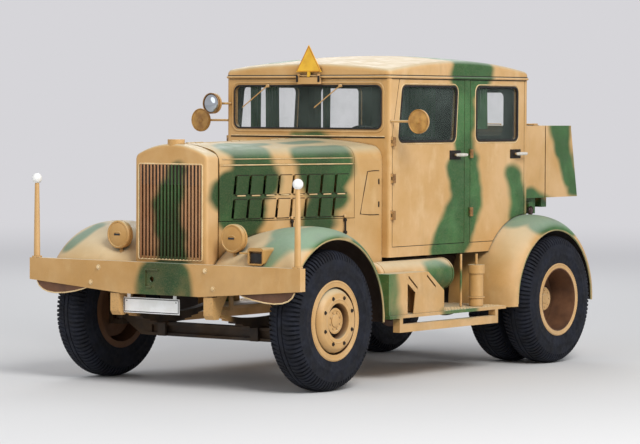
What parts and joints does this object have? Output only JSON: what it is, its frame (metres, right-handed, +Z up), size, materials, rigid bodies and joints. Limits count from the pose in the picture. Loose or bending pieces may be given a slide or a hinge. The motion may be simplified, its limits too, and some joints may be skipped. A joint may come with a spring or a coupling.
{
  "type": "heavy military road tractor with crew cab",
  "caption": "Two-axle heavy road tractor with a long louvred hood, a closed four-door crew cab, twin rear tyres, rounded fenders and a rear locker over a towing jaw.",
  "frame": {"origin": "on the floor, under the middle of the vehicle's length and width", "axes": "+Z up, the front looks along -Y, +X is the vehicle's left (driver's) side"},
  "size_m": [2.49, 4.521, 2.495],
  "materials": {
    "tan_paint": "matt sand-coloured military paint with soft-edged green patches",
    "chassis_paint": "matt sand paint, darkened by dirt",
    "tyre": "dark blue-black rubber",
    "glass": "clear flat glass",
    "engine_iron": "dark painted iron",
    "seat_leather": "dark seat covers",
    "cab_lining": "dull interior paint",
    "black_plastic": "black moulded rim",
    "white_paint": "white enamel",
    "yellow_paint": "yellow enamel"
  },
  "bodies": {
    "chassis": {"frame": "chassis_paint", "leaf_springs": "chassis_paint", "axles": "chassis_paint", "steering_box": "chassis_paint", "engine_block": "engine_iron", "driveline": "chassis_paint", "exhaust": "chassis_paint", "bumper": "tan_paint", "width_poles": "tan_paint", "number_plate": "white_paint", "radiator_shell": "tan_paint", "radiator_core": "engine_iron", "grille": "tan_paint", "hood_valances": "tan_paint", "scuttle": "tan_paint", "cab_body": "tan_paint", "cab_roof": "tan_paint", "cab_floor": "cab_lining", "cab_glass": "glass", "seat_boxes": "cab_lining", "seat_cushions": "seat_leather", "dashboard": "cab_lining", "front_fenders": "tan_paint", "rear_fenders": "tan_paint", "front_lamps": "tan_paint", "cab_fittings": "tan_paint", "running_boards": "tan_paint", "toe_boxes": "tan_paint", "side_tanks": "tan_paint", "jack": "tan_paint", "locker": "tan_paint", "locker_support": "tan_paint", "tow_hitch": "chassis_paint"},
    "knuckle_left": {"knuckle_left": "chassis_paint"},
    "wheel_front_left": {"front_rim_left": "tan_paint", "front_tyre_left": "tyre"},
    "wheels_rear_left": {"rear_rims_left": "tan_paint", "rear_tyres_left": "tyre"},
    "knuckle_right": {"knuckle_right": "chassis_paint"},
    "wheel_front_right": {"front_rim_right": "tan_paint", "front_tyre_right": "tyre"},
    "wheels_rear_right": {"rear_rims_right": "tan_paint", "rear_tyres_right": "tyre"},
    "tie_rod": {"tie_rod": "chassis_paint"},
    "drag_link": {"drag_link": "chassis_paint"},
    "drop_arm": {"drop_arm": "chassis_paint"},
    "steering_wheel": {"steering_wheel": "black_plastic"},
    "hood_left": {"hood_left": "tan_paint"},
    "door_front_left": {"front_door_left": "tan_paint", "front_door_glass_left": "glass"},
    "door_rear_left": {"rear_door_left": "tan_paint", "rear_door_glass_left": "glass"},
    "hood_right": {"hood_right": "tan_paint"},
    "door_front_right": {"front_door_right": "tan_paint", "front_door_glass_right": "glass"},
    "door_rear_right": {"rear_door_right": "tan_paint", "rear_door_glass_right": "glass"},
    "locker_lid": {"locker_lid": "tan_paint"},
    "tow_sign": {"tow_sign": "yellow_paint"}
  },
  "joints": [
    {"name": "steer_left", "type": "hinge", "parent": "chassis", "child": "knuckle_left", "pos_m": [0.865, -1.6445, 0.505], "axis": [0, 0, 1], "range_deg": [-28, 28]},
    {"name": "spin_front_left", "type": "hinge", "parent": "knuckle_left", "child": "wheel_front_left", "pos_m": [0.985, -1.6445, 0.505], "axis": [1, 0, 0], "continuous": true},
    {"name": "spin_rear_left", "type": "hinge", "parent": "chassis", "child": "wheels_rear_left", "pos_m": [0.645, 1.4155, 0.505], "axis": [1, 0, 0], "continuous": true},
    {"name": "steer_right", "type": "hinge", "parent": "chassis", "child": "knuckle_right", "pos_m": [-0.865, -1.6445, 0.505], "axis": [0, 0, 1], "range_deg": [-28, 28]},
    {"name": "spin_front_right", "type": "hinge", "parent": "knuckle_right", "child": "wheel_front_right", "pos_m": [-0.985, -1.6445, 0.505], "axis": [1, 0, 0], "continuous": true},
    {"name": "spin_rear_right", "type": "hinge", "parent": "chassis", "child": "wheels_rear_right", "pos_m": [-0.645, 1.4155, 0.505], "axis": [1, 0, 0], "continuous": true},
    {"name": "tie_rod_pivot", "type": "hinge", "parent": "knuckle_left", "child": "tie_rod", "pos_m": [0.865, -1.4745, 0.374], "axis": [0, 0, 1], "range_deg": [-28, 28]},
    {"name": "drag_link_pivot", "type": "hinge", "parent": "knuckle_left", "child": "drag_link", "pos_m": [0.58, -1.6445, 0.5706], "axis": [0, 0, 1], "range_deg": [-28, 28]},
    {"name": "drop_arm_swing", "type": "hinge", "parent": "chassis", "child": "drop_arm", "pos_m": [0.5546, -1.0045, 0.8106], "axis": [1, 0, 0], "range_deg": [-34, 34]},
    {"name": "steering_wheel_turn", "type": "hinge", "parent": "chassis", "child": "steering_wheel", "pos_m": [0.4, -0.1445, 1.722], "axis": [0, 0.6691, 0.7431], "range_deg": [-370, 370]},
    {"name": "hood_left_open", "type": "hinge", "parent": "chassis", "child": "hood_left", "pos_m": [0, -1.3855, 1.765], "axis": [0, -0.9998, -0.0185], "range_deg": [0, 65]},
    {"name": "door_front_left_open", "type": "hinge", "parent": "chassis", "child": "door_front_left", "pos_m": [0.782, -0.455, 1.6], "axis": [0, 0, -1], "range_deg": [0, 68]},
    {"name": "door_rear_left_open", "type": "hinge", "parent": "chassis", "child": "door_rear_left", "pos_m": [0.782, 0.603, 1.6], "axis": [0, 0, -1], "range_deg": [0, 68]},
    {"name": "hood_right_open", "type": "hinge", "parent": "chassis", "child": "hood_right", "pos_m": [0, -1.3855, 1.765], "axis": [0, 0.9998, 0.0185], "range_deg": [0, 65]},
    {"name": "door_front_right_open", "type": "hinge", "parent": "chassis", "child": "door_front_right", "pos_m": [-0.782, -0.455, 1.6], "axis": [0, 0, 1], "range_deg": [0, 68]},
    {"name": "door_rear_right_open", "type": "hinge", "parent": "chassis", "child": "door_rear_right", "pos_m": [-0.782, 0.603, 1.6], "axis": [0, 0, 1], "range_deg": [0, 68]},
    {"name": "locker_lid_open", "type": "hinge", "parent": "chassis", "child": "locker_lid", "pos_m": [0, 1.75831, 1.889], "axis": [1, 0, 0], "range_deg": [0, 80]},
    {"name": "tow_sign_fold", "type": "hinge", "parent": "chassis", "child": "tow_sign", "pos_m": [0.043, -0.5275, 2.262], "axis": [1, 0, 0], "range_deg": [0, 90]}
  ],
  "couplings": [
    {"joint": "steer_right", "follows": "steer_left", "ratio": 1},
    {"joint": "tie_rod_pivot", "follows": "steer_left", "ratio": -1},
    {"joint": "drag_link_pivot", "follows": "steer_left", "ratio": -1},
    {"joint": "drop_arm_swing", "follows": "steer_left", "ratio": -1.1875},
    {"joint": "steering_wheel_turn", "follows": "steer_left", "ratio": 13}
  ]
}
